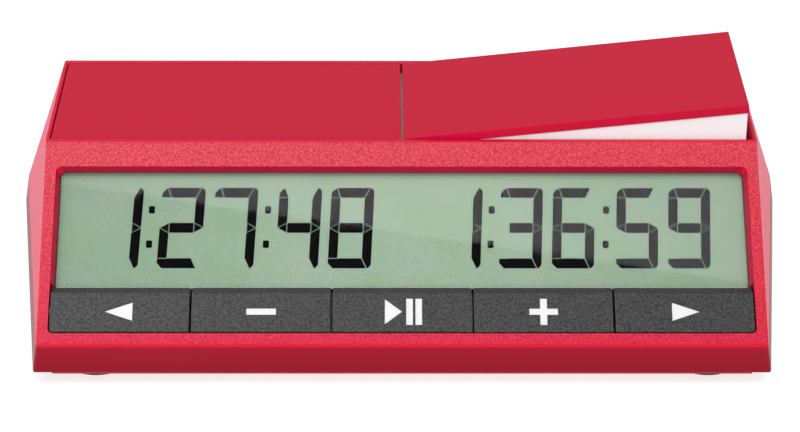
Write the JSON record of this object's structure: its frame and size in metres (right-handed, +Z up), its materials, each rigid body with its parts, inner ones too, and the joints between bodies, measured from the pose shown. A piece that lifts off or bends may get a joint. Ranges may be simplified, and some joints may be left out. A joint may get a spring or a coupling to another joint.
{
  "type": "chess clock",
  "caption": "Compact digital chess clock: wedge case with a sloping two-time display, a row of keys below it and a two-sided rocker on top.",
  "frame": {"origin": "centre of the footprint box, on the surface that the feet stand on", "axes": "+X to the right as the display is read, +Y to the back, +Z up"},
  "size_m": [0.1722, 0.0792, 0.0465],
  "materials": {
    "case_plastic": "fine-grained moulded ABS, satin",
    "cap_plastic": "smooth moulded ABS, satin",
    "rocker_plastic": "smooth moulded ABS",
    "key_plastic": "fine-grained matt moulded ABS",
    "window": "clear polished acrylic sheet",
    "lcd_glass": "grey-green reflective display",
    "carrier_plastic": "light moulded plastic",
    "zebra_rubber": "striped conductive rubber",
    "circuit_board": "green solder mask",
    "black_plastic": "matt moulded plastic",
    "capacitor_sleeve": "shrink sleeve",
    "mat_silicone": "translucent grey silicone",
    "black_silicone": "matt silicone",
    "battery_sleeve": "plain shrink sleeve",
    "steel": "bright plated steel",
    "lead_black": "insulated stranded wire",
    "lead_red": "insulated stranded wire",
    "foot_rubber": "matt rubber"
  },
  "bodies": {
    "case": {"upper_housing": "case_plastic", "base_plate": "case_plastic", "rocker_axle": "steel", "detent_spring": "steel", "sensor_board": "circuit_board", "sensor_pad_left": "black_silicone", "sensor_pad_right": "black_silicone", "display_window": "window", "lcd_panel": "lcd_glass", "display_carrier": "carrier_plastic", "zebra_strip_lower": "zebra_rubber", "zebra_strip_upper": "zebra_rubber", "main_circuit_board": "circuit_board", "microcontroller": "black_plastic", "crystal": "steel", "capacitor": "capacitor_sleeve", "buzzer": "black_plastic", "keypad_mat": "mat_silicone", "battery_tray": "black_plastic", "battery_left": "battery_sleeve", "battery_right": "battery_sleeve", "negative_contact": "steel", "positive_contact": "steel", "battery_lead_negative": "lead_black", "battery_lead_positive": "lead_red", "power_switch": "black_plastic", "foot_front_left": "foot_rubber", "case_screw_front_left": "steel", "foot_front_right": "foot_rubber", "case_screw_front_right": "steel", "foot_rear_left": "foot_rubber", "case_screw_rear_left": "steel", "foot_rear_right": "foot_rubber", "case_screw_rear_right": "steel", "board_screw_lower_left": "steel", "board_screw_lower_right": "steel", "board_screw_upper_left": "steel", "board_screw_upper_right": "steel"},
    "rocker": {"rocker_body": "rocker_plastic", "rocker_cap_left": "cap_plastic", "rocker_cap_right": "cap_plastic"},
    "key_back": {"key_back": "key_plastic"},
    "key_minus": {"key_minus": "key_plastic"},
    "key_play_pause": {"key_play_pause": "key_plastic"},
    "key_plus": {"key_plus": "key_plastic"},
    "key_forward": {"key_forward": "key_plastic"},
    "power_button": {"power_button": "black_plastic"},
    "battery_door": {"battery_door": "case_plastic"}
  },
  "joints": [
    {"name": "rocker_tilt", "type": "hinge", "parent": "case", "child": "rocker", "pos_m": [0, 0, 0.03248], "axis": [0, 1, 0], "range_deg": [0, 6.2]},
    {"name": "key_back_press", "type": "slide", "parent": "case", "child": "key_back", "axis": [0, 0.6157, -0.788], "range_m": [0, 0.0007], "stiffness_N_per_m": 600},
    {"name": "key_minus_press", "type": "slide", "parent": "case", "child": "key_minus", "axis": [0, 0.6157, -0.788], "range_m": [0, 0.0007], "stiffness_N_per_m": 600},
    {"name": "key_play_pause_press", "type": "slide", "parent": "case", "child": "key_play_pause", "axis": [0, 0.6157, -0.788], "range_m": [0, 0.0007], "stiffness_N_per_m": 600},
    {"name": "key_plus_press", "type": "slide", "parent": "case", "child": "key_plus", "axis": [0, 0.6157, -0.788], "range_m": [0, 0.0007], "stiffness_N_per_m": 600},
    {"name": "key_forward_press", "type": "slide", "parent": "case", "child": "key_forward", "axis": [0, 0.6157, -0.788], "range_m": [0, 0.0007], "stiffness_N_per_m": 600},
    {"name": "power_button_press", "type": "slide", "parent": "case", "child": "power_button", "axis": [0, 0, 1], "range_m": [0, 0.0008], "stiffness_N_per_m": 600},
    {"name": "battery_door_slide", "type": "slide", "parent": "case", "child": "battery_door", "axis": [0, 1, 0], "range_m": [0, 0.028]}
  ]
}
